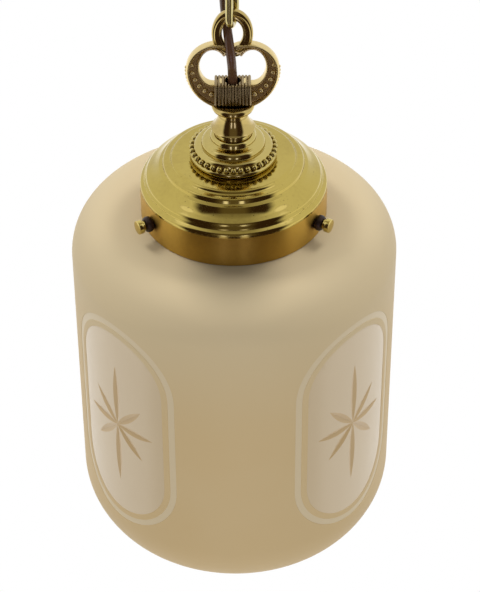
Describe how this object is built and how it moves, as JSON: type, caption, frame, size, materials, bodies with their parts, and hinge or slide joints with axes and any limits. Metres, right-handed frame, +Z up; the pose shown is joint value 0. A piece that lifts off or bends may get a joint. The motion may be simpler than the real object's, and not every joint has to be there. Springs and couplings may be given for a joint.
{
  "type": "hanging lamp",
  "caption": "Hanging lamp with an amber glass cylinder shade in a stepped brass gallery, hung by a brass trefoil, chain and flex from a ceiling rose.",
  "frame": {"origin": "middle of the ceiling plate's upper face, on the ceiling", "axes": "+Z up, -Y to the front of the lamp; the lamp hangs below zero"},
  "size_m": [0.22, 0.22, 0.5939],
  "materials": {
    "spun_brass": "polished dome over a satin band",
    "cast_brass": "polished casting",
    "chain_brass": "polished wire",
    "polished_brass": "polished",
    "dark_nut": "dark bronze",
    "amber_glass": "satin amber glass with polished panels",
    "clear_glass": "clear",
    "brown_flex": "satin",
    "steel": "plated",
    "white_plastic": "moulded",
    "black_plastic": "moulded",
    "white_ceramic": "unglazed"
  },
  "bodies": {
    "ceiling": {"ceiling_plate": "steel", "ceiling_rose": "polished_brass", "ceiling_hook": "polished_brass", "rose_collar": "polished_brass", "rose_grub_screw": "polished_brass", "terminal_block": "white_plastic", "clamp_screw_1": "steel", "clamp_screw_2": "steel", "flex_bush": "black_plastic", "flex_stretch_4": "brown_flex"},
    "link_3": {"chain_link_3": "chain_brass", "flex_stretch_3": "brown_flex"},
    "link_2": {"chain_link_2": "chain_brass", "flex_stretch_2": "brown_flex"},
    "link_1": {"chain_link_1": "chain_brass"},
    "lamp": {"trefoil": "cast_brass", "flex_stretch_1": "brown_flex", "stepped_cap": "cast_brass", "gallery": "spun_brass", "threaded_rod": "steel", "gallery_washer": "steel", "rod_nut": "steel", "lock_nut_1": "dark_nut", "lock_nut_2": "dark_nut", "lock_nut_3": "dark_nut", "holder_cap": "polished_brass", "holder_body": "polished_brass", "holder_ring": "polished_brass", "holder_sleeve": "polished_brass", "holder_insulator": "white_ceramic", "holder_contact": "polished_brass", "flex_inside": "brown_flex"},
    "shade": {"glass_shade": "amber_glass"},
    "bulb": {"bulb_glass": "clear_glass", "bulb_cap": "steel", "bulb_insulator": "black_plastic", "bulb_contact": "steel", "bulb_stem": "clear_glass"},
    "screw_1": {"thumbscrew_1": "polished_brass"},
    "screw_2": {"thumbscrew_2": "polished_brass"},
    "screw_3": {"thumbscrew_3": "polished_brass"}
  },
  "joints": [
    {"name": "link_3_swing", "type": "hinge", "parent": "ceiling", "child": "link_3", "pos_m": [0, 0, -0.0704], "axis": [1, 0, 0], "range_deg": [-25, 25], "deforming": ["flex_stretch_4"]},
    {"name": "link_2_swing", "type": "hinge", "parent": "link_3", "child": "link_2", "pos_m": [0, 0, -0.1064], "axis": [0, 1, 0], "range_deg": [-25, 25], "deforming": ["flex_stretch_3"]},
    {"name": "link_1_swing", "type": "hinge", "parent": "link_2", "child": "link_1", "pos_m": [0, 0, -0.1424], "axis": [1, 0, 0], "range_deg": [-25, 25], "deforming": ["flex_stretch_2"]},
    {"name": "lamp_swing", "type": "hinge", "parent": "link_1", "child": "lamp", "pos_m": [0, 0, -0.1784], "axis": [0.2351, 0.972, 0], "range_deg": [-20, 20], "deforming": ["flex_stretch_1"]},
    {"name": "shade_turn", "type": "hinge", "parent": "lamp", "child": "shade", "pos_m": [0, 0, -0.324], "axis": [0, 0, 1], "continuous": true},
    {"name": "bulb_unscrew", "type": "slide", "parent": "lamp", "child": "bulb", "axis": [0, 0, -1], "range_m": [0, 0.026]},
    {"name": "screw_1_unscrew", "type": "slide", "parent": "lamp", "child": "screw_1", "axis": [-0.866, -0.5, 0], "range_m": [0, 0.006]},
    {"name": "screw_2_unscrew", "type": "slide", "parent": "lamp", "child": "screw_2", "axis": [0.866, -0.5, 0], "range_m": [0, 0.006]},
    {"name": "screw_3_unscrew", "type": "slide", "parent": "lamp", "child": "screw_3", "axis": [0, 1, 0], "range_m": [0, 0.006]}
  ]
}
